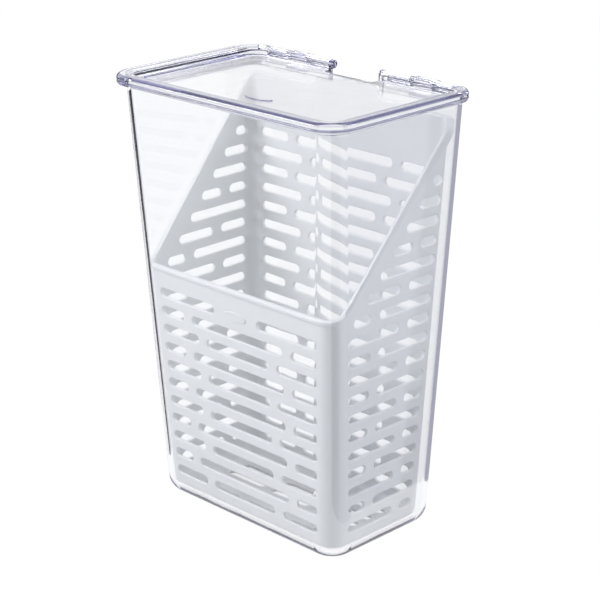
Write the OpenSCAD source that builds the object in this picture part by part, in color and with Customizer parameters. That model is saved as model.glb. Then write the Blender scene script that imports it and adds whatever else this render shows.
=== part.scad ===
// Herb keeper: a clear, tapering container with a clear recessed lid that is hinged at the back,
// and a white slotted basket inside it, raked open at the front and lifted by a tab at the back.
// Millimetres, +Z up. The origin is the centre of the face that the container stands on.
// X runs along the wide front, -Y is the front, and +Y is the hinge side.

/* [Container] */
// Outside width at the mouth
body_w = 150.6; // [130:0.2:180]
// Outside depth at the mouth
body_d = 96.6; // [86:0.2:120]
// Height of the mouth above the table
body_h = 227; // [215:0.5:260]
// How far each wall leans in between the mouth and the table
lean = 9.7; // [6:0.1:13]
// Thickness of the clear walls
wall = 2; // [1.6:0.1:2.6]
// Thickness of the clear floor
floor_t = 2.6; // [2:0.1:4]
// Radius of the upright corners at the table
base_corner = 14; // [11:0.5:18]
// Radius of the rolled edge round the base
base_roll = 9; // [6:0.5:10]

/* [Flange] */
// How far the flange stands out at the front and the sides
flange_out = 4.6; // [3:0.1:6]
// How far the flange stands out at the back
flange_back = 1.6; // [1:0.1:2.4]
// Thickness of the flange
flange_t = 2.5; // [2:0.1:4]
// Corner radius of the flange and the lid, seen from above
flange_corner = 15; // [13:0.5:18]
// Rounding of the flange's outer edges
flange_round = 0.8; // [0.3:0.1:0.9]

/* [Finger notch] */
// Width of the notch in the back wall
notch_w = 36.8; // [30:0.2:38]
// Depth of the notch below the mouth
notch_drop = 15; // [9:0.5:22]
// Radius of the notch's bottom corners
notch_round = 6; // [2:0.5:7]

/* [Lid] */
// Height of the lid's raised edge
lid_h = 2.8; // [2.2:0.1:4]
// Gap between the closed lid and the flange
lid_gap = 0.2; // [0.1:0.05:0.3]
// Width of the raised edge
lid_edge_w = 5; // [4:0.1:6]
// Rounding of the raised edge
lid_round = 1.1; // [0.5:0.1:1.3]
// Step down from the raised edge to the inner land
lid_step = 0.7; // [0.3:0.1:1]
// Depth of the tray below the lid's top
tray_drop = 5.4; // [4:0.1:7]
// Thickness of the tray's floor
tray_t = 1.6; // [1.2:0.1:2]
// Thickness of the tray's side wall
skirt_t = 1.6; // [1.2:0.1:2]
// Gap between the tray and the mouth of the container
skirt_gap = 0.4; // [0.3:0.05:0.6]
// Distance from the hinge axis forward to the lid's back edge
lid_setback = 4; // [3.6:0.1:5]
// Width of the notch in the lid
lid_notch_w = 35; // [26:0.5:36]
// Depth of the notch in the lid, from its back edge
lid_notch_in = 7.4; // [5:0.1:9]
// Radius of the corners of the lid's notch
lid_notch_round = 2.5; // [1:0.5:4]
// Length of the plain oval plate on the lid
lid_oval_w = 18.4; // [12:0.2:24]
// Width of the plain oval plate on the lid
lid_oval_d = 7; // [4:0.2:10]
// Distance of the lid's oval in front of the centre
lid_oval_y = 22; // [10:0.5:30]
// How far both oval plates stand proud
oval_rise = 0.5; // [0.3:0.1:0.8]

/* [Hinges] */
// Distance from the centre plane to the inner end of a hinge
hinge_start = 20.5; // [19.5:0.5:24]
// Width of each fixed knuckle
fixed_w = 15.4; // [10:0.2:16]
// Width of the lid's knuckle, between the fixed ones
moving_w = 14.2; // [8:0.2:15]
// Side gap between knuckles
knuckle_gap = 0.4; // [0.3:0.05:0.6]
// Radius of the fixed knuckles
fixed_r = 2.2; // [1.9:0.1:2.5]
// Radius of the lid's knuckle
moving_r = 2.9; // [2.6:0.1:3.2]
// Gap between the lid's knuckle and the container
swing_gap = 0.25; // [0.2:0.05:0.5]
// Height of the mouth above the hinge axis
hinge_drop = 1; // [0.8:0.1:1.3]
// Radius of the hinge pins
pin_r = 0.95; // [0.8:0.05:1.1]
// Clearance round the pins in their bores
pin_play = 0.05; // [0.03:0.01:0.08]
// How far the pins stop short of the knuckles' ends
pin_short = 0.5; // [0.3:0.1:1]

/* [Basket] */
// Thickness of the basket's walls
basket_wall = 1.8; // [1.4:0.1:2.4]
// Thickness of the basket's floor
basket_floor = 2; // [1.5:0.1:3]
// How far the lip stands out from the basket's walls
lip_out = 1.3; // [0.8:0.1:1.6]
// Height of the lip
lip_t = 2.7; // [1.8:0.1:3.4]
// How much tighter the lip's rear corners are than the corners of the walls
lip_tighter = 4; // [0:0.5:5]
// Gap between the lip and the container at the front and the sides
basket_gap = 0.5; // [0.4:0.1:0.8]
// Space behind the lip for the fingers
finger_space = 4.9; // [4:0.1:8]
// Radius of the rolled edge round the basket's floor
basket_roll = 7; // [4:0.5:8]
// Height of the lip along the front, above the table
front_h = 130.8; // [122:0.2:140]
// Gap between the closed lid's tray and the top of the tab
tab_clear = 0.4; // [0.3:0.1:1]
// Height of the tab above the back lip
tab_rise = 6; // [3:0.1:8]
// Width of the flat top of the tab
tab_w = 30; // [20:0.5:34]
// Width of the curve on each side of the tab
tab_curve_w = 12; // [8:0.5:16]
// Angle of the raked sides
rake_angle = 49; // [45:0.5:52]
// Radius where the rake meets the front
rake_r = 9; // [4:0.5:12]
// Radius where the rake meets the back
rake_top_r = 2; // [1:0.5:8]

/* [Slots] */
// Height of a slot
slot_h = 4.8; // [3.5:0.1:5.4]
// Distance from one row of slots to the next
slot_pitch = 10.05; // [9:0.05:11]
// Height of the lowest row above the table
first_row = 15.8; // [14:0.1:18]
// Rows on the front, the oval's row among them
front_rows = 11; // [6:1:11]
// Rows on the sides and the back
side_rows = 18; // [12:1:18]
// Solid wall between the outer slots and the basket's upright edges, front and back
edge_margin = 10.3; // [9:0.1:13]
// Solid wall between the side slots and the front edge
side_margin = 10.9; // [9:0.1:13]
// Solid wall behind the side slots at the lowest row
rear_margin_low = 10.6; // [9:0.1:12]
// Solid wall behind the side slots at the mouth
rear_margin_high = 3.6; // [3:0.1:8]
// Level distance from the rake to the side slots
rake_margin = 13; // [9:0.5:16]
// Half length of the middle slot in the rows that have a long one
long_half = 33; // [28:0.5:36]
// Half length of the middle slot in the rows that have a short one
short_half = 22.5; // [16:0.5:26]
// Solid bridge between two slots of a row
bridge = 6.1; // [4:0.1:8]
// Half width of the plain place for the oval
oval_bay = 15.6; // [12:0.2:20]
// Where the forward bridge of the sides is centred
forward_bridge_y = -11.1; // [-14:0.1:-8]
// Where the rear bridge of the sides is centred
rear_bridge_y = 9.2; // [6:0.1:12]
// How far the rear bridge of the first split row above the front leans back
upper_bridge_shift = 7.3; // [4:0.1:9]
// Length of the plain oval plate on the basket
basket_oval_w = 16.4; // [12:0.2:20]
// Height of the plain oval plate on the basket
basket_oval_h = 5.6; // [4:0.2:7]
// Rows of slots in the floor
floor_rows = 5; // [3:1:5]
// Length of a slot in the floor
floor_slot_w = 27; // [16:0.5:30]
// Solid bridge between the slots of the floor
floor_bridge = 6; // [4:0.5:10]

/* [Hidden] */

$fn = 48;
corner_steps = 8;                       // facets in a quarter of a tapering corner
roll_steps = 6;                         // facets across a rolled bottom edge
far = 400;                              // longer than the whole object

clear_tint = [0.86, 0.89, 0.93, 0.35];
basket_white = [0.95, 0.96, 0.96];
pin_grey = [0.72, 0.73, 0.75];

lean_slope = lean / body_h;
lean_angle = atan(lean_slope);
mouth_corner = flange_corner - flange_out;
front_edge_y = -body_d / 2 - flange_out;
back_edge_y = body_d / 2 + flange_back;
side_edge_x = body_w / 2 + flange_out;

lid_z = body_h + lid_gap;
lid_top = lid_z + lid_h;
tray_top = lid_top - tray_drop;
tray_z = tray_top - tray_t;

hinge_y = body_d / 2 + moving_r + swing_gap;
hinge_z = body_h - hinge_drop;
lid_back_y = hinge_y - lid_setback;
moving_start = hinge_start + fixed_w + knuckle_gap;
outer_start = moving_start + moving_w + knuckle_gap;
hinge_end = outer_start + fixed_w;
bore_r = pin_r + pin_play;

basket_z = floor_t;
lip_inset = wall + basket_gap;                    // container's outside to the lip, front and sides
lip_inset_back = wall + finger_space;             // the same at the back
tab_top = tray_z - tab_clear;
back_h = tab_top - tab_rise;
rake_slope = tan(rake_angle);
lip_back_y = half_d(back_h) - lip_inset_back;

// Half width and half depth of the container's outside at a height
function half_w(z) = body_w / 2 - (body_h - z) * lean_slope;
function half_d(z) = body_d / 2 - (body_h - z) * lean_slope;
function corner_at(z) = mouth_corner + (base_corner - mouth_corner) * (body_h - z) / body_h;

// A level ring of points: a rectangle from y0 to y1 with rounded corners, of one radius at the front
// and another at the back
function ring(x, y0, y1, r_front, r_back, z) = [
    for (q = [0:3]) for (k = [0:corner_steps])
        let (
            a = 90 * (q + k / corner_steps),
            side = (q == 0 || q == 3) ? 1 : -1,
            r = q < 2 ? r_back : r_front
        )
        [side * (x - r) + r * cos(a), (q < 2 ? y1 - r : y0 + r) + r * sin(a), z]
];

// The ring of the container's outside at a height, taken in by a distance at the front and the sides
// and by another at the back, with rear corners that may be tighter
function body_ring(z, inset, inset_back, shrink = 0, tighter = 0) =
    let (r = corner_at(z) - inset - shrink)
    ring(
        half_w(z) - inset - shrink,
        -half_d(z) + inset + shrink,
        half_d(z) - inset_back - shrink,
        max(r, 1),
        max(r - tighter, 1),
        z);

// A closed solid through a stack of rings
module loft(rings) {
    n = len(rings[0]);
    last = len(rings) - 1;
    polyhedron(
        points = [for (r = rings) each r],
        faces = concat(
            [[for (i = [0:n - 1]) i]],
            [[for (i = [n - 1:-1:0]) last * n + i]],
            [for (j = [0:last - 1]) for (i = [0:n - 1])
                let (k = (i + 1) % n)
                [j * n + i, (j + 1) * n + i, (j + 1) * n + k, j * n + k]]));
}

// A tapering tub that follows the container, with a rolled edge round its bottom
module tub(z0, z1, inset, inset_back, roll, tighter = 0) {
    loft(concat(
        [for (k = [0:roll_steps])
            let (a = 90 * k / roll_steps)
            body_ring(z0 + roll * (1 - cos(a)), inset, inset_back, roll * (1 - sin(a)), tighter)],
        [body_ring(z1, inset, inset_back, 0, tighter)]));
}

// A rectangle with round corners, from its lower left to its upper right corner
module round_rect(x0, y0, x1, y1, r) {
    translate([x0, y0 + r]) square([x1 - x0, y1 - y0 - 2 * r]);
    translate([x0 + r, y0]) square([x1 - x0 - 2 * r, y1 - y0]);
    for (x = [x0 + r, x1 - r], y = [y0 + r, y1 - r]) translate([x, y]) circle(r);
}

// A slot with round ends from x0 to x1, centred on y
module slot(x0, x1, y, h) {
    r = h / 2;
    translate([x0 + r, y - r]) square([x1 - x0 - h, h]);
    for (x = [x0 + r, x1 - r]) translate([x, y]) circle(r, $fn = 24);
}

module oval(w, d) {
    polygon([for (a = [0:10:350]) [w / 2 * cos(a), d / 2 * sin(a)]]);
}

// Carries a profile round the flange's outline. The profile's x is the distance out from it.
module around_flange() {
    straight_x = side_edge_x - flange_corner;
    straight_y = (back_edge_y - front_edge_y) / 2 - flange_corner;
    mid_y = (back_edge_y + front_edge_y) / 2;
    translate([0, mid_y, 0])
        for (sx = [0, 1], sy = [0, 1]) mirror([sx, 0, 0]) mirror([0, sy, 0]) {
            translate([straight_x, 0, 0]) rotate([90, 0, 0]) mirror([0, 0, 1])
                linear_extrude(straight_y) translate([flange_corner, 0]) children();
            translate([0, straight_y, 0]) rotate([90, 0, 90])
                linear_extrude(straight_x) translate([flange_corner, 0]) children();
            translate([straight_x, straight_y, 0])
                rotate_extrude(angle = 90) translate([flange_corner, 0]) children();
        }
}

// A bar with rounded outer corners, seen in section
module flange_section() {
    w = flange_out + wall;
    r = flange_round;
    translate([-w, body_h - flange_t]) {
        square([w - r, flange_t]);
        translate([0, r]) square([w, flange_t - 2 * r]);
        for (z = [r, flange_t - r]) translate([w - r, z]) circle(r, $fn = 24);
    }
}

module lid_edge_section() {
    r = lid_round;
    translate([-lid_edge_w, lid_z]) {
        square([lid_edge_w, lid_h - r]);
        translate([r, 0]) square([lid_edge_w - 2 * r, lid_h]);
        for (x = [r, lid_edge_w - r]) translate([x, lid_h - r]) circle(r, $fn = 24);
    }
}

// A bar along X between two distances from the centre plane, on both sides
module both_sides() {
    for (s = [0, 1]) mirror([s, 0, 0]) children();
}

module barrel(x0, x1, r) {
    translate([x0, hinge_y, hinge_z]) rotate([0, 90, 0]) cylinder(r = r, h = x1 - x0);
}

module fixed_knuckle(x0) {
    barrel(x0, x0 + fixed_w, fixed_r);
    translate([x0, body_d / 2 - wall, body_h - flange_t])
        cube([fixed_w, hinge_y - body_d / 2 + wall, flange_t]);
}

module container() {
    color(clear_tint) difference() {
        union() {
            tub(0, body_h, 0, 0, base_roll);
            around_flange() flange_section();
            both_sides() {
                fixed_knuckle(hinge_start);
                fixed_knuckle(outer_start);
            }
        }
        tub(floor_t, body_h + 1, wall, wall, base_roll - wall);
        finger_notch();
        both_sides() {
            translate([moving_start - knuckle_gap, body_d / 2, body_h - flange_t - 1])
                cube([moving_w + 2 * knuckle_gap, far, flange_t + 2]);
            barrel(hinge_start - 1, hinge_end + 1, bore_r);
        }
    }
}

module finger_notch() {
    top = body_h + notch_round + 1;
    translate([0, body_d / 2 - wall - lean_slope * notch_drop - 1, 0])
        rotate([90, 0, 0]) mirror([0, 0, 1]) linear_extrude(far)
            round_rect(-notch_w / 2, body_h - notch_drop, notch_w / 2, top, notch_round);
}

module lid() {
    skirt_r = mouth_corner - wall - skirt_gap;
    skirt_x = body_w / 2 - wall - skirt_gap;
    skirt_y = body_d / 2 - wall - skirt_gap;
    color(clear_tint) {
        difference() {
            union() {
                around_flange() lid_edge_section();
                translate([0, 0, lid_z]) linear_extrude(lid_h - lid_step)
                    round_rect(-side_edge_x + lid_round, front_edge_y + lid_round,
                        side_edge_x - lid_round, back_edge_y - lid_round, flange_corner - lid_round);
                translate([0, 0, tray_z]) linear_extrude(lid_top - lid_step - tray_z)
                    round_rect(-skirt_x, -skirt_y, skirt_x, skirt_y, skirt_r);
            }
            translate([0, 0, tray_top]) linear_extrude(far)
                round_rect(-skirt_x + skirt_t, -skirt_y + skirt_t,
                    skirt_x - skirt_t, skirt_y - skirt_t, skirt_r - skirt_t);
            translate([-far / 2, lid_back_y, 0]) cube([far, far, far]);
            translate([0, 0, tray_z - 1]) linear_extrude(far)
                round_rect(-lid_notch_w / 2, lid_back_y - lid_notch_in,
                    lid_notch_w / 2, hinge_y + moving_r, lid_notch_round);
        }
        both_sides() lid_knuckle();
        translate([0, -lid_oval_y, tray_top - tray_t / 2])
            linear_extrude(tray_t / 2 + oval_rise) oval(lid_oval_w, lid_oval_d);
    }
}

module lid_knuckle() {
    tongue_in = lid_back_y - 1;
    difference() {
        union() {
            barrel(moving_start, moving_start + moving_w, moving_r);
            translate([moving_start, tongue_in, lid_z])
                cube([moving_w, hinge_y - tongue_in, hinge_z + moving_r - lid_z]);
        }
        barrel(moving_start - 1, moving_start + moving_w + 1, bore_r);
    }
}

module hinge_pin() {
    barrel(hinge_start + pin_short, hinge_end - pin_short, pin_r);
}

// The line of the front and the raked side, seen from the side as [y, z]. It ends in the middle of
// the back lip.
function rake_line() =
    let (
        low_y = rake_y(front_h) - rake_r * tan(rake_angle / 2),
        high_y = rake_y(back_h) + rake_top_r * tan(rake_angle / 2),
        low_arc = [for (a = [0:rake_angle / 8:rake_angle])
            [low_y + rake_r * sin(a), front_h + rake_r * (1 - cos(a))]],
        high_arc = [for (a = [rake_angle:-rake_angle / 5:0])
            [high_y - rake_top_r * sin(a), back_h - rake_top_r * (1 - cos(a))]]
    )
    concat([[-far, -far], [-far, front_h]], low_arc, high_arc, [[far, back_h], [far, -far]]);

// The right half of the tab's outline as [x, z]
function tab_line() =
    let (
        r = (tab_curve_w * tab_curve_w + tab_rise * tab_rise) / (4 * tab_rise),
        sweep = 2 * atan(tab_rise / tab_curve_w),
        x0 = tab_w / 2,
        x1 = x0 + tab_curve_w
    )
    concat(
        [for (a = [0:sweep / 5:sweep]) [x0 + r * sin(a), tab_top - r * (1 - cos(a))]],
        [for (a = [sweep:-sweep / 5:0]) [x1 - r * sin(a), back_h + r * (1 - cos(a))]]);

// Everything under the basket's top edge
module under_top() {
    right = concat(tab_line(), [[tab_w, 0]]);
    left = [for (i = [len(right) - 1:-1:0]) [-right[i][0], right[i][1]]];
    rotate([90, 0, 90]) linear_extrude(far, center = true) polygon(rake_line());
    translate([0, rake_y(back_h) - basket_wall, 0])
        rotate([90, 0, 0]) mirror([0, 0, 1]) linear_extrude(far / 4) polygon(concat(left, right));
}

function row_z(i) = first_row + i * slot_pitch;
function has_long_middle(i) = i % 2 == 1;
function front_y(z) = -half_d(z) + lip_inset + lip_out;
function back_y(z) = half_d(z) - lip_inset_back - lip_out;
function side_x(z) = half_w(z) - lip_inset - lip_out;

// The slots of one row of the front or the back
module wide_row(i, bay) {
    z = row_z(i);
    half = has_long_middle(i) ? long_half : short_half;
    outer = side_x(z) - edge_margin;
    inner = bay ? oval_bay : half + bridge;
    if (!bay) slot(-half, half, z, slot_h);
    slot(inner, outer, z, slot_h);
    slot(-outer, -inner, z, slot_h);
}

module front_slots() {
    for (i = [0:front_rows - 1]) wide_row(i, i == front_rows - 1);
}

module back_slots() {
    for (i = [0:side_rows - 1]) wide_row(i, false);
}

// Where the raked line lies at a height above the front
function rake_y(z) = lip_back_y - (lip_out + basket_wall) / 2 - (back_h - z) / rake_slope;

// The slots of both sides. A row is split by one bridge, which is forward in every other row, and
// what the rake leaves of a short slot that it cuts into is left out.
module side_slots() {
    for (i = [0:side_rows - 1]) {
        z = row_z(i);
        share = i * slot_pitch / (body_h - first_row);
        rear = back_y(z) - rear_margin_low + (rear_margin_low - rear_margin_high) * share;
        front = max(front_y(z) + side_margin, rake_y(z) + rake_margin);
        plain_bridge = has_long_middle(i) ? forward_bridge_y : rear_bridge_y;
        bridge_y = plain_bridge + (i == front_rows + 3 ? upper_bridge_shift : 0);
        if (bridge_y - bridge / 2 - front > slot_h + 1) {
            slot(front, bridge_y - bridge / 2, z, slot_h);
            slot(bridge_y + bridge / 2, rear, z, slot_h);
        } else {
            slot(min(front, rear - slot_h - 1), rear, z, slot_h);
        }
    }
}

module floor_slots() {
    step = slot_pitch;
    mid_y = (front_y(0) + back_y(0)) / 2;
    pitch_x = floor_slot_w + floor_bridge;
    for (j = [0:floor_rows - 1], i = [-1:1]) {
        x = i * pitch_x;
        y = mid_y + (j - (floor_rows - 1) / 2) * step;
        slot(x - floor_slot_w / 2, x + floor_slot_w / 2, y, slot_h);
    }
}

module basket() {
    z1 = body_h;
    inset = lip_inset + lip_out;
    inset_back = lip_inset_back + lip_out;
    oval_z = row_z(front_rows - 1);
    color(basket_white) {
        difference() {
            union() {
                intersection() {
                    tub(basket_z, z1, inset, inset_back, basket_roll);
                    under_top();
                }
                intersection() {
                    tub(basket_z, z1, lip_inset, lip_inset_back, basket_roll, lip_tighter);
                    difference() {
                        under_top();
                        translate([0, 0, -lip_t]) under_top();
                    }
                }
            }
            tub(basket_z + basket_floor, z1 + 1, inset + basket_wall, inset_back + basket_wall,
                basket_roll - basket_wall);
            translate([0, -far / 2 - 5, 0]) rotate([90, 0, 0]) linear_extrude(far, center = true)
                front_slots();
            translate([0, far / 2 + 5, 0]) rotate([90, 0, 0]) linear_extrude(far, center = true)
                back_slots();
            rotate([90, 0, 90]) linear_extrude(far, center = true) side_slots();
            translate([0, 0, basket_z - 1]) linear_extrude(basket_floor + 2) floor_slots();
        }
        translate([0, front_y(oval_z) + basket_wall / 2, oval_z]) rotate([90 + lean_angle, 0, 0])
            linear_extrude(basket_wall / 2 + oval_rise) oval(basket_oval_w, basket_oval_h);
    }
}

module hinge_pin_left() {
    color(pin_grey) mirror([1, 0, 0]) hinge_pin();
}

module hinge_pin_right() {
    color(pin_grey) hinge_pin();
}

container();
lid();
basket();
hinge_pin_left();
hinge_pin_right();
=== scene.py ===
# Looks of the herb keeper: a clear container with a hinged clear lid and a white slotted basket.
# Sizes are in millimetres, in the frame of the part, and become metres when a mesh is made.
import math

import bpy
import numpy as np
from mathutils import Matrix, Vector


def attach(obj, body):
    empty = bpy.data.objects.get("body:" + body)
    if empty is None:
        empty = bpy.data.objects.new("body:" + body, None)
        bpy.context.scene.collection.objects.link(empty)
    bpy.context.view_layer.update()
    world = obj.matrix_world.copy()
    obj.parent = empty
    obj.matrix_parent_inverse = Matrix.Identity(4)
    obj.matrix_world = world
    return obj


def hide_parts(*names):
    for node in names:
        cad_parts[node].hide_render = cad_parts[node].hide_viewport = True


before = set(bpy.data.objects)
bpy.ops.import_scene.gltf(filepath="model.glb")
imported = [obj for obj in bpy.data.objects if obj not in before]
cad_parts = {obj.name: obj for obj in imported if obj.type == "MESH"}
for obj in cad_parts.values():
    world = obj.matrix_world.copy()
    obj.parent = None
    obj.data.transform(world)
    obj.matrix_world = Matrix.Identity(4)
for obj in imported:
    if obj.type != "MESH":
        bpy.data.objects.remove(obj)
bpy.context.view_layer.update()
bpy.context.scene.view_settings.view_transform = "Standard"

MM = 0.001

# Container
BODY_W, BODY_D, BODY_H = 150.6, 96.6, 227.0
LEAN = 9.7                          # how far each wall leans in from the mouth to the base
WALL, FLOOR_T = 2.0, 2.6
BASE_CORNER, BASE_ROLL, LEAST_CORNER = 14.0, 9.0, 1.0
FLANGE_OUT, FLANGE_BACK, FLANGE_T = 4.6, 1.6, 2.5
FLANGE_CORNER, FLANGE_ROUND = 15.0, 0.8
FLANGE_CURVE = (2.4, 1.7)           # width and height of the curve under the flange's edge
MOUTH_ROUND = 0.4
NOTCH_W, NOTCH_DROP, NOTCH_ROUND = 36.8, 15.0, 6.0

# Lid
LID_GAP, LID_H, LID_EDGE_W = 0.2, 2.8, 5.0
LID_STEP, LID_STEP_ANGLE = 0.7, 80  # the round step inside the lid's edge, and its degrees
LID_CURVE = (2.4, 2.0)              # width and height of the curve over the lid's edge
LID_UNDER_ROUND, TRAY_ROUND = 0.3, 0.5
TRAY_DROP, TRAY_T, SKIRT_T, SKIRT_GAP = 5.4, 1.6, 1.6, 0.4
LID_SETBACK = 4.0
LID_NOTCH_W, LID_NOTCH_IN, LID_NOTCH_ROUND = 35.0, 7.4, 2.5
LID_OVAL_W, LID_OVAL_D, LID_OVAL_Y = 18.4, 7.0, 22.0
OVAL_RISE, OVAL_ROUND = 0.5, 0.4

# Hinges
HINGE_START, FIXED_W, MOVING_W, KNUCKLE_GAP = 20.5, 15.4, 14.2, 0.4
FIXED_R, MOVING_R, SWING_GAP, HINGE_DROP, BORE_R = 2.2, 2.9, 0.25, 1.0, 1.0

# Basket
BASKET_WALL, BASKET_FLOOR, BASKET_ROLL = 1.8, 2.0, 7.0
BASKET_SEAT = 0.04                  # between the basket and the container's floor
BASKET_GAP, FINGER_SPACE = 0.5, 4.9
LIP_OUT, LIP_T, LIP_TIGHTER = 1.3, 2.7, 4.0
LIP_LOW_ROUND, LIP_HIGH_ROUND, LIP_INNER_ROUND = 0.8, 1.15, 1.0
FRONT_H, RAKE_ANGLE, RAKE_R, RAKE_TOP_R = 130.8, 49.0, 9.0, 2.0
TAB_CLEAR, TAB_RISE, TAB_W, TAB_CURVE_W = 0.4, 6.0, 30.0, 12.0

# Slots
SLOT_H, SLOT_PITCH, FIRST_ROW, FRONT_ROWS, SIDE_ROWS = 4.8, 10.05, 15.8, 11, 18
EDGE_MARGIN, SIDE_MARGIN, RAKE_MARGIN = 10.3, 10.9, 13.0
REAR_MARGIN_LOW, REAR_MARGIN_HIGH = 10.6, 3.6
LONG_HALF, SHORT_HALF, BRIDGE, OVAL_BAY = 33.0, 22.5, 6.1, 15.6
FORWARD_BRIDGE_Y, REAR_BRIDGE_Y = -11.1, 9.2
UPPER_BRIDGE_ROW, UPPER_BRIDGE_SHIFT = FRONT_ROWS + 3, 7.3
LEAST_SLOT = SLOT_H + 1
FLOOR_ROWS, FLOOR_SLOT_W, FLOOR_BRIDGE = 5, 27.0, 6.0
BASKET_OVAL_W, BASKET_OVAL_H = 16.4, 5.6
SLOT_ROUND, SLOT_ROUND_ANGLE = 0.55, 72   # rounding of the slots' edges, and its degrees
SLOT_FLARE = 3.08                   # how fast a cutter widens outside the rounding
SLOT_SPREAD, SLOT_REACH = 0.05, 1.5       # where it stops widening, and where it ends

# Segments
CORNER_STEPS = 18                   # in a quarter turn of a corner
ROLL_STEPS = 14                     # across a rolled bottom edge
SMALL_STEPS = 5                     # across a small rounding
FLANGE_STEPS, LID_STEPS = 8, 10     # across the larger curves of the flange and the lid
NOTCH_STEPS, TAB_STEPS = 8, 14
SLOT_END_STEPS, SLOT_ROUND_STEPS = 9, 4
OVAL_STEPS, KNUCKLE_STEPS, BORE_STEPS = 64, 40, 24
RIM_TRIES = 6                       # rounds that settle the height of the lip
SHARP_ANGLE, NORMAL_WEIGHT = 32, 100

# Cutters
OVER = 1.0                          # how far one runs past what it cuts, or into what it joins
PAST, FAR = 20.0, 400.0

LEAN_SLOPE = LEAN / BODY_H
MOUTH_CORNER = FLANGE_CORNER - FLANGE_OUT
SIDE_EDGE_X = BODY_W / 2 + FLANGE_OUT
FRONT_EDGE_Y = -BODY_D / 2 - FLANGE_OUT
BACK_EDGE_Y = BODY_D / 2 + FLANGE_BACK
UNDER_FLANGE = BODY_H - FLANGE_T
LID_Z = BODY_H + LID_GAP
LID_TOP = LID_Z + LID_H
LAND_Z = LID_TOP - LID_STEP
TRAY_TOP = LID_TOP - TRAY_DROP
TRAY_Z = TRAY_TOP - TRAY_T
HINGE_Y = BODY_D / 2 + MOVING_R + SWING_GAP
HINGE_Z = BODY_H - HINGE_DROP
LID_BACK_Y = HINGE_Y - LID_SETBACK
MOVING_START = HINGE_START + FIXED_W + KNUCKLE_GAP
OUTER_START = MOVING_START + MOVING_W + KNUCKLE_GAP
HINGE_END = OUTER_START + FIXED_W
BASKET_Z = FLOOR_T + BASKET_SEAT
LIP_INSET = WALL + BASKET_GAP
LIP_INSET_BACK = WALL + FINGER_SPACE
BASKET_INSET = LIP_INSET + LIP_OUT
BASKET_INSET_BACK = LIP_INSET_BACK + LIP_OUT
TAB_TOP = TRAY_Z - TAB_CLEAR
BACK_H = TAB_TOP - TAB_RISE


# ---- shared shapes -------------------------------------------------------------------------

def half_w(z):
    return BODY_W / 2 - (BODY_H - z) * LEAN_SLOPE


def half_d(z):
    return BODY_D / 2 - (BODY_H - z) * LEAN_SLOPE


def corner_at(z):
    return MOUTH_CORNER + (BASE_CORNER - MOUTH_CORNER) * (BODY_H - z) / BODY_H


def arc(steps, start, end):
    """Angles in radians from start to end degrees."""
    return [math.radians(start + (end - start) * k / steps) for k in range(steps + 1)]


def on_circle(x, y, radius, a):
    return x + radius * math.cos(a), y + radius * math.sin(a)


def rounding(radius, steps=SMALL_STEPS, end=90):
    """How far a round edge stands off its first face and off its second face, in steps.

    The first distance shrinks from the radius to 0, and the second grows from 0."""
    return [(radius * (1 - math.sin(a)), radius * (1 - math.cos(a))) for a in arc(steps, 0, end)]


def ring(x, y_front, y_back, radius, z):
    """A level rectangle with round corners, counter-clockwise from its right side."""
    points = []
    for quarter in range(4):
        side = 1 if quarter in (0, 3) else -1
        centre_y = y_back - radius if quarter < 2 else y_front + radius
        for step in range(CORNER_STEPS + 1):
            a = math.radians(90 * (quarter + step / CORNER_STEPS))
            points.append((*on_circle(side * (x - radius), centre_y, radius, a), z))
    return points


def body_ring(z, inset, shrink=0.0):
    """The container's outline at a height, taken in by a distance."""
    radius = max(corner_at(z) - inset - shrink, LEAST_CORNER)
    y = half_d(z) - inset - shrink
    return ring(half_w(z) - inset - shrink, -half_d(z) + inset + shrink, y, radius, z)


def flange_ring(inset, z, inset_back=None):
    """The flange's and the lid's outline, taken in by a distance."""
    back = inset if inset_back is None else inset_back
    return ring(SIDE_EDGE_X - inset, FRONT_EDGE_Y + inset, BACK_EDGE_Y - back,
                FLANGE_CORNER - inset, z)


def skirt_ring(inset, z):
    """The outline of the lid's tray, inside the container's mouth."""
    x = BODY_W / 2 - WALL - SKIRT_GAP - inset
    y = BODY_D / 2 - WALL - SKIRT_GAP - inset
    return ring(x, -y, y, MOUTH_CORNER - WALL - SKIRT_GAP - inset, z)


def link_object(name, data):
    obj = bpy.data.objects.new(name, data)
    bpy.context.scene.collection.objects.link(obj)
    return obj


def make_object(name, points, faces):
    mesh = bpy.data.meshes.new(name)
    mesh.from_pydata([(x * MM, y * MM, z * MM) for x, y, z in points], [], faces)
    mesh.validate()
    mesh.update()
    return link_object(name, mesh)


def skin(name, rings):
    """A closed mesh through a stack of rings, from its bottom cap to its last cap."""
    count = len(rings[0])
    points = [p for r in rings for p in r]
    last = (len(rings) - 1) * count
    faces = [list(range(count - 1, -1, -1)), list(range(last, last + count))]
    for j in range(len(rings) - 1):
        for i in range(count):
            k = (i + 1) % count
            faces.append((j * count + i, j * count + k,
                          (j + 1) * count + k, (j + 1) * count + i))
    return make_object(name, points, faces)


def prism(name, outline, place, depths):
    """A closed prism. outline holds 2D points, and place(u, v, depth) gives their 3D place."""
    return skin(name, [[place(u, v, depth) for u, v in outline] for depth in depths])


def level(u, v, z):
    """The place of a prism that stands upright."""
    return u, v, z


def round_rect(x0, y0, x1, y1, radius):
    points = []
    for x, y, start in ((x1 - radius, y1 - radius, 0), (x0 + radius, y1 - radius, 90),
                        (x0 + radius, y0 + radius, 180), (x1 - radius, y0 + radius, 270)):
        points += [on_circle(x, y, radius, a) for a in arc(NOTCH_STEPS, start, start + 90)]
    return points


def cylinder_x(name, x0, x1, radius, steps=KNUCKLE_STEPS):
    """A cylinder about the hinges' axis."""
    outline = [on_circle(0, 0, radius, a) for a in arc(steps, 0, 360)[:-1]]
    return prism(name, outline, lambda u, v, x: (x, HINGE_Y + u, HINGE_Z + v), (x0, x1))


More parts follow.
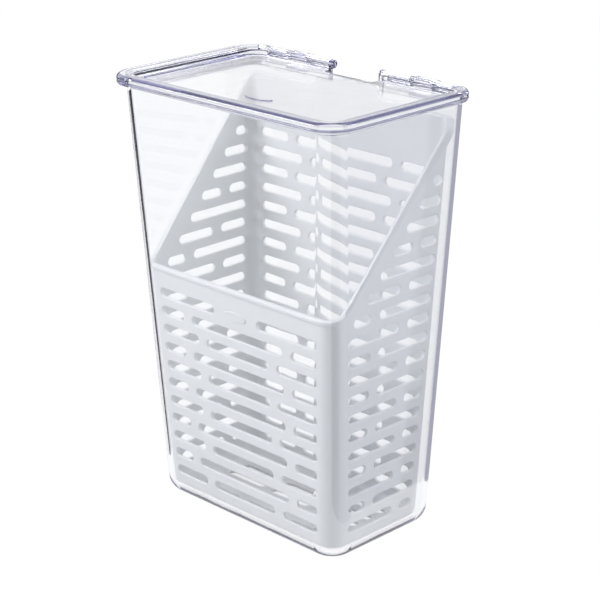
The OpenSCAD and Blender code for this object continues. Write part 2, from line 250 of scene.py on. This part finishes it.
def block(name, low, high):
    x0, y0, z0 = low
    x1, y1, z1 = high
    return prism(name, [(x0, y0), (x1, y0), (x1, y1), (x0, y1)], level, (z0, z1))


def oval_plate(name, width, height, place):
    """A low oval plate with a rounded rim, sunk a little into what it lies on."""
    levels = [(0.0, -OVAL_RISE)] + [(inset, OVAL_RISE - down)
                                    for down, inset in rounding(OVAL_ROUND)]
    rings = [[place((width / 2 - inset) * math.cos(a), (height / 2 - inset) * math.sin(a), h)
              for a in arc(OVAL_STEPS, 0, 360)[:-1]] for inset, h in levels]
    return skin(name, rings)


def join(name, objects):
    """One object from several closed meshes that don't touch."""
    points, faces = [], []
    for obj in objects:
        base = len(points)
        points += [tuple(v.co) for v in obj.data.vertices]
        faces += [[base + i for i in p.vertices] for p in obj.data.polygons]
        bpy.data.objects.remove(obj)
    mesh = bpy.data.meshes.new(name)
    mesh.from_pydata(points, [], faces)
    mesh.update()
    return link_object(name, mesh)


def flip_if_inside_out(obj):
    """Turns a closed mesh's faces outward."""
    mesh = obj.data
    mesh.calc_loop_triangles()
    co = np.array([v.co for v in mesh.vertices])
    tri = np.array([t.vertices for t in mesh.loop_triangles])
    a, b, c = co[tri[:, 0]], co[tri[:, 1]], co[tri[:, 2]]
    if np.einsum("ij,ij->i", a, np.cross(b, c)).sum() < 0:
        mesh.flip_normals()


def apply_modifiers(obj):
    graph = bpy.context.evaluated_depsgraph_get()
    mesh = bpy.data.meshes.new_from_object(obj.evaluated_get(graph))
    obj.modifiers.clear()
    obj.data = mesh


def combine(target, tool, operation):
    """Cuts the tool from the target, or adds it to the target, and removes the tool."""
    modifier = target.modifiers.new(operation.lower(), "BOOLEAN")
    modifier.operation = operation
    modifier.object = tool
    modifier.solver = "EXACT"
    apply_modifiers(target)
    bpy.data.objects.remove(tool)


def shade(obj):
    """Smooth shading with sharp edges past an angle. Flat walls keep their flat normals."""
    obj.data.shade_smooth()
    obj.data.set_sharp_from_angle(angle=math.radians(SHARP_ANGLE))
    modifier = obj.modifiers.new("weighted normals", "WEIGHTED_NORMAL")
    modifier.keep_sharp = True
    modifier.weight = NORMAL_WEIGHT
    apply_modifiers(obj)


# ---- container -----------------------------------------------------------------------------

def tub_bottom(z0, inset, roll):
    """Rings of a rolled bottom edge."""
    return [body_ring(z0 + up, inset, shrink) for shrink, up in rounding(roll, ROLL_STEPS)]


def make_container():
    rings = tub_bottom(0, 0, BASE_ROLL)
    rings.append(body_ring(UNDER_FLANGE - MOUTH_ROUND, 0))
    rings.append(body_ring(UNDER_FLANGE, -MOUTH_ROUND))
    across, rise = FLANGE_CURVE
    for a in arc(FLANGE_STEPS, 0, 90):
        share = 1 - math.sin(a)
        z = UNDER_FLANGE + rise * (1 - math.cos(a))
        rings.append(flange_ring(across * share, z, FLANGE_ROUND * share))
    rings += [flange_ring(inset, BODY_H - down)
              for down, inset in rounding(BODY_H - UNDER_FLANGE - rise)]
    rings += [body_ring(BODY_H - down, WALL - out) for out, down in rounding(MOUTH_ROUND)]
    rings += tub_bottom(FLOOR_T, WALL, BASE_ROLL - WALL)[::-1]
    container = skin("container_shell", rings)

    outline = round_rect(-NOTCH_W / 2, BODY_H - NOTCH_DROP, NOTCH_W / 2, BODY_H + PAST,
                         NOTCH_ROUND)
    notch_y = BODY_D / 2 - WALL - LEAN_SLOPE * NOTCH_DROP - OVER
    notch = prism("notch", outline, lambda u, v, y: (u, -y, v), (-FAR, -notch_y))
    combine(container, notch, "DIFFERENCE")
    for side in (-1, 1):
        add_fixed_knuckles(container, side)
    shade(container)
    return container


def add_fixed_knuckles(container, side):
    x0, x1 = sorted((side * (MOVING_START - KNUCKLE_GAP),
                     side * (MOVING_START + MOVING_W + KNUCKLE_GAP)))
    gap = block("gap", (x0, BODY_D / 2, UNDER_FLANGE - OVER), (x1, FAR, BODY_H + OVER))
    combine(container, gap, "DIFFERENCE")
    for start in (HINGE_START, OUTER_START):
        x0, x1 = sorted((side * start, side * (start + FIXED_W)))
        arm = block("arm", (x0, BODY_D / 2 - WALL / 2, UNDER_FLANGE), (x1, HINGE_Y, BODY_H))
        combine(container, arm, "UNION")
        combine(container, cylinder_x("knuckle", x0, x1, FIXED_R), "UNION")
    x0, x1 = sorted((side * (HINGE_START - OVER), side * (HINGE_END + OVER)))
    combine(container, cylinder_x("bore", x0, x1, BORE_R, BORE_STEPS), "DIFFERENCE")


# ---- lid -----------------------------------------------------------------------------------

def make_lid():
    rings = [skirt_ring(inset, TRAY_Z + up) for inset, up in rounding(TRAY_ROUND)]
    rings.append(skirt_ring(0, LID_Z))
    rings += [flange_ring(inset, LID_Z + up) for inset, up in rounding(LID_UNDER_ROUND)]
    across, rise = LID_CURVE
    rings += [flange_ring(across * (1 - math.cos(a)), LID_TOP - rise * (1 - math.sin(a)))
              for a in arc(LID_STEPS, 0, 90)]
    rings += [flange_ring(LID_EDGE_W - out, LID_TOP - down)
              for out, down in rounding(LID_STEP, end=LID_STEP_ANGLE)]
    rings.append(flange_ring(LID_EDGE_W, LAND_Z))
    rings += [skirt_ring(SKIRT_T - out, LAND_Z - down) for out, down in rounding(TRAY_ROUND)]
    rings += [skirt_ring(SKIRT_T + inset, TRAY_TOP + up) for up, inset in rounding(TRAY_ROUND)]
    lid = skin("lid_shell", rings)

    combine(lid, block("back", (-FAR, LID_BACK_Y, 0), (FAR, FAR, FAR)), "DIFFERENCE")
    outline = round_rect(-LID_NOTCH_W / 2, LID_BACK_Y - LID_NOTCH_IN, LID_NOTCH_W / 2,
                         HINGE_Y + PAST, LID_NOTCH_ROUND)
    combine(lid, prism("notch", outline, level, (TRAY_Z - OVER, LID_TOP + OVER)), "DIFFERENCE")
    for side in (-1, 1):
        x0, x1 = sorted((side * MOVING_START, side * (MOVING_START + MOVING_W)))
        tongue = block("tongue", (x0, LID_BACK_Y - OVER, LID_Z),
                       (x1, HINGE_Y, HINGE_Z + MOVING_R))
        combine(lid, tongue, "UNION")
        combine(lid, cylinder_x("knuckle", x0, x1, MOVING_R), "UNION")
        combine(lid, cylinder_x("bore", x0 - OVER, x1 + OVER, BORE_R, BORE_STEPS), "DIFFERENCE")
    plate = oval_plate("plate", LID_OVAL_W, LID_OVAL_D,
                       lambda u, v, h: (u, v - LID_OVAL_Y, TRAY_TOP + h))
    combine(lid, plate, "UNION")
    shade(lid)
    return lid


# ---- basket --------------------------------------------------------------------------------

LIP_BACK_Y = half_d(BACK_H) - LIP_INSET_BACK
RAKE_END_Y = LIP_BACK_Y - (LIP_OUT + BASKET_WALL) / 2


def front_y(z):
    return -half_d(z) + BASKET_INSET


def back_y(z):
    return half_d(z) - BASKET_INSET_BACK


def side_x(z):
    return half_w(z) - BASKET_INSET


def rake_y(z):
    return RAKE_END_Y - (BACK_H - z) / math.tan(math.radians(RAKE_ANGLE))


def rake_z(y):
    """Height of the basket's top edge at a place along the sides."""
    angle = math.radians(RAKE_ANGLE)
    low = rake_y(FRONT_H) - RAKE_R * math.tan(angle / 2)
    high = RAKE_END_Y + RAKE_TOP_R * math.tan(angle / 2)
    if y <= low:
        return FRONT_H
    if y >= high:
        return BACK_H
    if y < low + RAKE_R * math.sin(angle):
        return FRONT_H + RAKE_R - math.sqrt(RAKE_R ** 2 - (y - low) ** 2)
    if y > high - RAKE_TOP_R * math.sin(angle):
        return BACK_H - RAKE_TOP_R + math.sqrt(RAKE_TOP_R ** 2 - (high - y) ** 2)
    return FRONT_H + (y - rake_y(FRONT_H)) * math.tan(angle)


def tab_z(x):
    """Height of the tab's top edge."""
    radius = (TAB_CURVE_W ** 2 + TAB_RISE ** 2) / (4 * TAB_RISE)
    out = abs(x) - TAB_W / 2
    if out <= 0:
        return TAB_TOP
    if out < TAB_CURVE_W / 2:
        return TAB_TOP - radius + math.sqrt(radius ** 2 - out ** 2)
    if out < TAB_CURVE_W:
        return BACK_H + radius - math.sqrt(radius ** 2 - (TAB_CURVE_W - out) ** 2)
    return BACK_H


def basket_stations():
    """Where the basket's upright lines stand: in the corners, and along the back by the tab."""
    stations = []
    curve = [TAB_W / 2 + TAB_CURVE_W * k / TAB_STEPS for k in range(TAB_STEPS + 1)]
    for quarter in range(4):
        for step in range(CORNER_STEPS + 1):
            stations.append(("corner", quarter, 90 * (quarter + step / CORNER_STEPS)))
        if quarter == 0:
            stations += [("back", x, 0) for x in curve[::-1] + [-x for x in curve]]
    return stations


STATIONS = basket_stations()


def basket_point(station, z, inset, inset_back, shrink=0.0, tighter=0.0):
    """A point on an upright line. tighter takes it from the radius of the back corners."""
    kind, value, angle = station
    x = half_w(z) - inset - shrink
    y_front = -half_d(z) + inset + shrink
    y_back = half_d(z) - inset_back - shrink
    if kind == "back":
        return value, y_back, z
    at_back = value < 2
    radius = max(corner_at(z) - inset - shrink - (tighter if at_back else 0.0), LEAST_CORNER)
    side = 1 if value in (0, 3) else -1
    centre_y = y_back - radius if at_back else y_front + radius
    return (*on_circle(side * (x - radius), centre_y, radius, math.radians(angle)), z)


def rim_top(station):
    """Height of the lip's top edge where an upright line meets the middle of the lip."""
    if station[0] == "back":
        return tab_z(station[1])
    middle = (BASKET_WALL - LIP_OUT) / 2
    z = BACK_H
    for _ in range(RIM_TRIES):
        point = basket_point(station, z, BASKET_INSET + middle, BASKET_INSET_BACK + middle)
        z = rake_z(point[1])
    return z


def rim_point(station, out, drop):
    """A point of the lip: out is the distance out from the wall, drop is below the top edge."""
    tighter = LIP_TIGHTER * max(out, 0.0) / LIP_OUT
    return basket_point(station, rim_top(station) - drop, BASKET_INSET - out,
                        BASKET_INSET_BACK - out, tighter=tighter)


def lip_section():
    """Points of the rolled lip as (out, drop), from the wall's outside over the top to inside."""
    points = [(0.0, LIP_T)]
    points += [(LIP_OUT - back, LIP_T - up) for back, up in rounding(LIP_LOW_ROUND)]
    points += [(LIP_OUT - back, drop) for drop, back in rounding(LIP_HIGH_ROUND)]
    points += [(-BASKET_WALL + out, drop) for out, drop in rounding(LIP_INNER_ROUND)]
    return points


def basket_bottom(z0, inset, inset_back, roll):
    """Rings of a rolled bottom edge, on the basket's upright lines."""
    return [[basket_point(s, z0 + up, inset, inset_back, shrink) for s in STATIONS]
            for shrink, up in rounding(roll, ROLL_STEPS)]


def slot_outline(x0, x1, y, grow):
    radius = SLOT_H / 2 + grow
    points = []
    for x, start in ((x1 - SLOT_H / 2, -90), (x0 + SLOT_H / 2, 90)):
        points += [on_circle(x, y, radius, a) for a in arc(SLOT_END_STEPS, start, start + 180)]
    return points


def slot_depths(thickness):
    """(depth, growth) through a wall, with rounded edges on both of its faces."""
    edge = [(SLOT_ROUND * (1 - math.sin(a)), SLOT_ROUND * (1 - math.cos(a)))
            for a in arc(SLOT_ROUND_STEPS, SLOT_ROUND_ANGLE, 0)]
    depth, grow = edge[0]
    widest = grow + SLOT_FLARE * (depth + SLOT_SPREAD)
    half = [(-SLOT_REACH, widest), (-SLOT_SPREAD, widest)] + edge
    return half + [(thickness - d, g) for d, g in half[::-1]]


def slot_cutter(x0, x1, row, place, thickness):
    rings = [[place(u, v, depth) for u, v in slot_outline(x0, x1, row, grow)]
             for depth, grow in slot_depths(thickness)]
    cutter = skin("slot", rings)
    flip_if_inside_out(cutter)
    return cutter


def row_z(i):
    return FIRST_ROW + i * SLOT_PITCH


def wide_row(i, bay=False):
    """The slots of one row of the front or the back, as (start, end)."""
    half = LONG_HALF if i % 2 else SHORT_HALF
    outer = side_x(row_z(i)) - EDGE_MARGIN
    inner = OVAL_BAY if bay else half + BRIDGE
    slots = [(inner, outer), (-outer, -inner)]
    return slots if bay else slots + [(-half, half)]


def side_row(i):
    """The slots of one row of a side, as (start, end)."""
    z = row_z(i)
    share = i * SLOT_PITCH / (BODY_H - FIRST_ROW)
    rear = back_y(z) - REAR_MARGIN_LOW + (REAR_MARGIN_LOW - REAR_MARGIN_HIGH) * share
    front = max(front_y(z) + SIDE_MARGIN, rake_y(z) + RAKE_MARGIN)
    bridge_y = FORWARD_BRIDGE_Y if i % 2 else REAR_BRIDGE_Y
    if i == UPPER_BRIDGE_ROW:
        bridge_y += UPPER_BRIDGE_SHIFT
    if bridge_y - BRIDGE / 2 - front > LEAST_SLOT:
        return [(front, bridge_y - BRIDGE / 2), (bridge_y + BRIDGE / 2, rear)]
    return [(min(front, rear - LEAST_SLOT), rear)]


def in_front(u, v, depth):
    return -u, front_y(v) + depth, v


def in_back(u, v, depth):
    return u, back_y(v) - depth, v


def in_left(u, v, depth):
    return depth - side_x(v), u, v


def in_right(u, v, depth):
    return side_x(v) - depth, u, v


def in_floor(u, v, depth):
    return u, v, BASKET_Z + depth


def basket_cutters():
    cutters = []
    for i in range(FRONT_ROWS):
        for x0, x1 in wide_row(i, bay=i == FRONT_ROWS - 1):
            cutters.append(slot_cutter(x0, x1, row_z(i), in_front, BASKET_WALL))
    for i in range(SIDE_ROWS):
        for x0, x1 in wide_row(i):
            cutters.append(slot_cutter(x0, x1, row_z(i), in_back, BASKET_WALL))
        for y0, y1 in side_row(i):
            for place in (in_left, in_right):
                cutters.append(slot_cutter(y0, y1, row_z(i), place, BASKET_WALL))
    mid_y = (front_y(0) + back_y(0)) / 2
    half = FLOOR_SLOT_W / 2
    for j in range(FLOOR_ROWS):
        y = mid_y + (j - (FLOOR_ROWS - 1) / 2) * SLOT_PITCH
        for i in (-1, 0, 1):
            x = i * (FLOOR_SLOT_W + FLOOR_BRIDGE)
            cutters.append(slot_cutter(x - half, x + half, y, in_floor, BASKET_FLOOR))
    return cutters


def make_basket():
    rings = basket_bottom(BASKET_Z, BASKET_INSET, BASKET_INSET_BACK, BASKET_ROLL)
    rings += [[rim_point(s, out, drop) for s in STATIONS] for out, drop in lip_section()]
    rings += basket_bottom(BASKET_Z + BASKET_FLOOR, BASKET_INSET + BASKET_WALL,
                           BASKET_INSET_BACK + BASKET_WALL, BASKET_ROLL - BASKET_WALL)[::-1]
    basket = skin("basket_shell", rings)
    combine(basket, join("slots", basket_cutters()), "DIFFERENCE")
    oval_z = row_z(FRONT_ROWS - 1)
    plate = oval_plate("plate", BASKET_OVAL_W, BASKET_OVAL_H,
                       lambda u, v, h: (u, front_y(oval_z + v) - h, oval_z + v))
    combine(basket, plate, "UNION")
    shade(basket)
    return basket


# ---- materials -----------------------------------------------------------------------------

CLEAR_COLOUR, CLEAR_IOR = (0.985, 0.99, 1.0, 1), 1.54
CLEAR_WAVES = {"Scale": 45, "Detail": 1.5}
CLEAR_BUMP = {"Strength": 0.12, "Distance": 0.0006}
CLEAR_ROUGH = (0.0, 0.03)
CLEAR_DEPTH = {"Color": (0.80, 0.80, 0.92, 1), "Density": 22.0}
SHADOW_TINT = (0.975, 0.975, 0.985, 1)    # what each clear face leaves of straight light
EDGE_SHADE_TINT = (0.7, 0.7, 0.81, 1)           # painted shade: light that has turned often inside goes on darkened to this lilac, which draws soft dark outlines along the clear edges and the base
TURNS_KEPT = 3.5                          # turns before light goes straight on

WHITE_LOOK = {"Subsurface Weight": 0.25, "Subsurface Radius": (1.0, 1.0, 0.95),
              "Subsurface Scale": 0.0025, "IOR": 1.49}
WHITE_CLOUDS = {"Scale": 18, "Detail": 3}
WHITE_COLOURS = (0.80, 0.815, 0.825, 1), (0.845, 0.855, 0.86, 1)
WHITE_ROUGH = (0.28, 0.4)
WHITE_GRAIN = {"Scale": 2600, "Detail": 2}
WHITE_BUMP = {"Strength": 0.06, "Distance": 0.0001}

STEEL_STRETCH = (120, 2600, 2600)         # fine across the wire, and long along it
STEEL_COLOURS = (0.42, 0.43, 0.46, 1), (0.62, 0.63, 0.66, 1)
STEEL_ROUGH = (0.22, 0.4)


def add_node(nodes, kind, values=None, **settings):
    """A shader node, with its own settings and the plain values of its inputs."""
    node = nodes.new("ShaderNode" + kind)
    for name, value in settings.items():
        setattr(node, name, value)
    for name, value in (values or {}).items():
        node.inputs[name].default_value = value
    return node


def new_material(name):
    material = bpy.data.materials.new(name)
    material.use_nodes = True
    nodes = material.node_tree.nodes
    nodes.clear()
    return material, nodes, material.node_tree.links, add_node(nodes, "OutputMaterial")


def add_noise(nodes, links, place, values):
    noise = add_node(nodes, "TexNoise", values)
    links.new(place, noise.inputs["Vector"])
    return noise.outputs["Fac"]


def add_tint(nodes, links, share, colours):
    tint = add_node(nodes, "Mix", dict(zip("AB", colours)), data_type="RGBA")
    links.new(share, tint.inputs["Factor"])
    return tint.outputs["Result"]


def add_range(nodes, links, value, span):
    spread = add_node(nodes, "MapRange", dict(zip(("To Min", "To Max"), span)))
    links.new(value, spread.inputs["Value"])
    return spread.outputs["Result"]


def add_bump(nodes, links, height, values):
    bump = add_node(nodes, "Bump", values)
    links.new(height, bump.inputs["Height"])
    return bump.outputs["Normal"]


def mix_shaders(nodes, links, share, first, second):
    """The first shader where the share is 0, and the second where it is 1."""
    mix = add_node(nodes, "MixShader")
    for k, source in enumerate((share, first, second)):
        links.new(source, mix.inputs[k])
    return mix.outputs[0]


def more_turns(nodes, links, path, turns):
    """1 for light that has turned more often than this in the clear plastic."""
    often = add_node(nodes, "Math", {1: turns}, operation="GREATER_THAN")
    links.new(path.outputs["Glossy Depth"], often.inputs[0])
    return often.outputs[0]


def clear_plastic():
    """Clear moulded plastic with a faint waviness and a faint cool tint in its thickness, and
    painted shade in light that has turned often inside.
    """
    material, nodes, links, out = new_material("clear_plastic")
    plastic = add_node(nodes, "BsdfPrincipled", {
        "Base Color": CLEAR_COLOUR, "Transmission Weight": 1.0, "IOR": CLEAR_IOR})
    place = add_node(nodes, "TexCoord").outputs["Object"]
    waves = add_noise(nodes, links, place, CLEAR_WAVES)
    links.new(add_bump(nodes, links, waves, CLEAR_BUMP), plastic.inputs["Normal"])
    links.new(add_range(nodes, links, waves, CLEAR_ROUGH), plastic.inputs["Roughness"])
    path = add_node(nodes, "LightPath")
    soft = add_node(nodes, "Math", operation="MAXIMUM")
    links.new(path.outputs["Is Shadow Ray"], soft.inputs[0])
    links.new(path.outputs["Is Diffuse Ray"], soft.inputs[1])
    often = more_turns(nodes, links, path, TURNS_KEPT)
    surface = plastic.outputs[0]
    # the second pair is painted shade: a darker lilac tone for light that has turned often inside,
    # for the dark outlines along edges
    for share, colour in ((soft.outputs[0], SHADOW_TINT), (often, EDGE_SHADE_TINT)):
        through = add_node(nodes, "BsdfTransparent", {"Color": colour})
        surface = mix_shaders(nodes, links, share, surface, through.outputs[0])
    links.new(surface, out.inputs["Surface"])
    volume = add_node(nodes, "VolumeAbsorption", CLEAR_DEPTH)
    links.new(volume.outputs[0], out.inputs["Volume"])
    return material


def white_plastic():
    """Satin white moulded plastic with a fine grain and a little light inside."""
    material, nodes, links, out = new_material("white_plastic")
    plastic = add_node(nodes, "BsdfPrincipled", WHITE_LOOK)
    place = add_node(nodes, "TexCoord").outputs["Object"]
    clouds = add_noise(nodes, links, place, WHITE_CLOUDS)
    links.new(add_tint(nodes, links, clouds, WHITE_COLOURS), plastic.inputs["Base Color"])
    links.new(add_range(nodes, links, clouds, WHITE_ROUGH), plastic.inputs["Roughness"])
    grain = add_noise(nodes, links, place, WHITE_GRAIN)
    links.new(add_bump(nodes, links, grain, WHITE_BUMP), plastic.inputs["Normal"])
    links.new(plastic.outputs[0], out.inputs["Surface"])
    return material


def pin_steel():
    """Drawn steel wire, with fine marks along its length."""
    material, nodes, links, out = new_material("pin_steel")
    steel = add_node(nodes, "BsdfPrincipled", {"Metallic": 1.0})
    place = add_node(nodes, "TexCoord").outputs["Object"]
    stretch = add_node(nodes, "Mapping", {"Scale": STEEL_STRETCH})
    links.new(place, stretch.inputs["Vector"])
    marks = add_noise(nodes, links, stretch.outputs["Vector"], {"Scale": 1.0})
    links.new(add_tint(nodes, links, marks, STEEL_COLOURS), steel.inputs["Base Color"])
    links.new(add_range(nodes, links, marks, STEEL_ROUGH), steel.inputs["Roughness"])
    links.new(steel.outputs[0], out.inputs["Surface"])
    return material


def dress(obj, material):
    obj.data.materials.clear()
    obj.data.materials.append(material)


# ---- the part ------------------------------------------------------------------------------

def build_part():
    clear = clear_plastic()
    white = white_plastic()
    steel = pin_steel()
    for maker, material, node in ((make_container, clear, "container"),
                                  (make_lid, clear, "lid"), (make_basket, white, "basket")):
        piece = maker()
        dress(piece, material)
        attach(piece, node)
        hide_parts(node)
    for node in ("hinge_pin_left", "hinge_pin_right"):
        dress(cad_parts[node], steel)


# ---- studio --------------------------------------------------------------------------------

CAMERA_AZIMUTH, CAMERA_ELEVATION, CAMERA_ROLL = 45.71, 19.96, -0.595
CAMERA_DISTANCE, CAMERA_TARGET_Z = 950.05, 115.0
CAMERA_LENS, SENSOR_WIDTH, CLIP_START = 111.33, 36, 0.01
CAMERA_SHIFT = (0.0113, -0.0003)

WHITE = (1, 1, 1, 1)
AMBIENT = {"Color": (0.93, 0.97, 1.0, 1), "Strength": 0.3}
OVERHEAD = (0.6, 0.6, 0.7, 1)       # the studio above, in the clear plastic and the metal
OVERHEAD_FROM, OVERHEAD_TO = 0.3, 0.7     # upward part of the directions where it fades in

FLOOR_HALF, FLOOR_Z = 3000.0, -0.05
FLOOR_PAPER = (0.8, 0.8, 0.8, 1)
FLOOR_GLOW, FLOOR_SHARE = 1.04, 0.94      # strength and share of the white that is seen

BLACK, GREY = (0.02, 0.02, 0.03, 1), (0.4, 0.4, 0.48, 1)
SIDES = ("back", "left", "front", "right")
CARDS = (                           # name, distance on x and y, lowest, highest, turns, gap, tones
    ("back", 92.0, 68.0, 4.0, 215.0, 0.5, 0.0, (GREY, None, None, None)),
    ("side", 92.0, 68.0, 4.0, 215.0, 0.5, 39.5, (None, BLACK, None, BLACK)),
    ("inner", 92.0, 39.5, 4.0, 215.0, 0.5, 0.0, (None, None, None, GREY)),
    ("rim", 86.0, 61.0, 221.0, 232.3, 0.5, 0.0, (BLACK, BLACK, BLACK, BLACK)),
    ("high", 150.0, 150.0, 235.0, 600.0, 1.5, 0.0, (None, None, GREY, GREY)),
)
LAMP_AIM_Z = 0.11                   # in metres, as are the lamps' distances and sizes
LAMPS = (                           # name, azimuth, elevation, distance, size, power
    ("key", -38, 35, 1.4, 0.7, 13.2),
    ("fill", 120, 34, 1.4, 0.7, 9.0),
    ("top", 150, 74, 1.2, 0.7, 2.6),
)


def toward(azimuth, elevation):
    """The direction to a place round the part, in degrees. Azimuth 0 is in front of it."""
    a, e = math.radians(azimuth), math.radians(elevation)
    return Vector((math.sin(a) * math.cos(e), -math.cos(a) * math.cos(e), math.sin(e)))


def make_camera():
    azimuth, roll = math.radians(CAMERA_AZIMUTH), math.radians(CAMERA_ROLL)
    back = toward(CAMERA_AZIMUTH, CAMERA_ELEVATION)
    right = Vector((math.cos(azimuth), math.sin(azimuth), 0))
    up = back.cross(right)
    turned_right = right * math.cos(roll) + up * math.sin(roll)
    turned_up = up * math.cos(roll) - right * math.sin(roll)
    camera = link_object("camera", bpy.data.cameras.new("camera"))
    camera.data.lens = CAMERA_LENS
    camera.data.sensor_width = SENSOR_WIDTH
    camera.data.shift_x, camera.data.shift_y = CAMERA_SHIFT
    camera.data.clip_start = CLIP_START
    place = (Vector((0, 0, CAMERA_TARGET_Z)) + back * CAMERA_DISTANCE) * MM
    axes = Matrix((turned_right, turned_up, back)).transposed().to_4x4()
    camera.matrix_world = Matrix.Translation(place) @ axes
    bpy.context.scene.camera = camera


def seen_ray(nodes, links, path):
    """1 for rays of the camera, and for those that metal and clear plastic send on."""
    total = path.outputs["Is Camera Ray"]
    for name in ("Is Glossy Ray", "Is Transmission Ray"):
        most = add_node(nodes, "Math", operation="MAXIMUM")
        links.new(total, most.inputs[0])
        links.new(path.outputs[name], most.inputs[1])
        total = most.outputs[0]
    return total


def make_world():
    """Plain white for the camera, white that greys overhead in reflections, and soft light."""
    world = bpy.data.worlds.new("studio")
    bpy.context.scene.world = world
    world.use_nodes = True
    nodes, links = world.node_tree.nodes, world.node_tree.links
    nodes.clear()
    out = add_node(nodes, "OutputWorld")
    lit = add_node(nodes, "Background", AMBIENT)
    shown = add_node(nodes, "Background", {"Strength": 1.0})
    parts = add_node(nodes, "SeparateXYZ")
    links.new(add_node(nodes, "TexCoord").outputs["Generated"], parts.inputs[0])
    height = add_node(nodes, "MapRange", {"From Min": OVERHEAD_FROM, "From Max": OVERHEAD_TO},
                      interpolation_type="SMOOTHSTEP")
    links.new(parts.outputs["Z"], height.inputs["Value"])
    path = add_node(nodes, "LightPath")
    sent_on = add_node(nodes, "Math", {0: 1.0}, operation="SUBTRACT")
    links.new(path.outputs["Is Camera Ray"], sent_on.inputs[1])
    share = add_node(nodes, "Math", operation="MULTIPLY")
    links.new(sent_on.outputs[0], share.inputs[0])
    links.new(height.outputs["Result"], share.inputs[1])
    sky = add_tint(nodes, links, share.outputs[0], (WHITE, OVERHEAD))
    links.new(sky, shown.inputs["Color"])
    mix = mix_shaders(nodes, links, seen_ray(nodes, links, path), lit.outputs[0],
                      shown.outputs[0])
    links.new(mix, out.inputs["Surface"])


def make_floor():
    half = FLOOR_HALF
    corners = [(x, y, FLOOR_Z) for x, y in ((-half, -half), (half, -half), (half, half),
                                            (-half, half))]
    floor = make_object("floor", corners, [(0, 1, 2, 3)])
    material, nodes, links, out = new_material("floor")
    paper = add_node(nodes, "BsdfDiffuse", {"Color": FLOOR_PAPER})
    glow = add_node(nodes, "Emission", {"Strength": FLOOR_GLOW})
    share = add_node(nodes, "Math", {1: FLOOR_SHARE}, operation="MULTIPLY")
    path = add_node(nodes, "LightPath")
    links.new(seen_ray(nodes, links, path), share.inputs[0])
    mix = mix_shaders(nodes, links, share.outputs[0], paper.outputs[0], glow.outputs[0])
    links.new(mix, out.inputs["Surface"])
    floor.data.materials.append(material)


def card_material(tone, turns):
    """A plain tone for light that has turned more often than this, and nothing for the rest."""
    material, nodes, links, out = new_material("card")
    turned = more_turns(nodes, links, add_node(nodes, "LightPath"), turns)
    gone = add_node(nodes, "BsdfTransparent")
    shown = add_node(nodes, "Emission", {"Color": tone})
    mix = mix_shaders(nodes, links, turned, gone.outputs[0], shown.outputs[0])
    links.new(mix, out.inputs["Surface"])
    return material


def make_cards():
    """Cards round the part that draw the dark lines in the edges of the clear plastic."""
    for name, away_x, away_y, low, high, turns, gap, tones in CARDS:
        for turn, (side, tone) in enumerate(zip(SIDES, tones)):
            if tone is None:
                continue
            away, half = (away_x, away_y) if turn % 2 else (away_y, away_x)
            cos, sin = math.cos(math.radians(90 * turn)), math.sin(math.radians(90 * turn))
            points = [(u * cos - away * sin, u * sin + away * cos, v)
                      for u0, u1 in ((-half, -gap), (gap, half))
                      for u, v in ((u0, low), (u1, low), (u1, high), (u0, high))]
            card = make_object(f"card_{name}_{side}", points, [(0, 1, 2, 3), (4, 5, 6, 7)])
            card.data.materials.append(card_material(tone, turns))
            card.visible_diffuse = False
            card.visible_shadow = False


def add_lamp(name, azimuth, elevation, distance, size, power):
    """A square lamp that looks at the part."""
    direction = toward(azimuth, elevation)
    lamp = bpy.data.lights.new(name, "AREA")
    lamp.size = size
    lamp.energy = power
    obj = link_object(name, lamp)
    obj.location = direction * distance + Vector((0, 0, LAMP_AIM_Z))
    obj.rotation_euler = direction.to_track_quat("Z", "Y").to_euler()


def make_studio():
    make_world()
    make_floor()
    make_cards()
    for lamp in LAMPS:
        add_lamp(*lamp)


build_part()
make_camera()
make_studio()

bpy.context.view_layer.update()
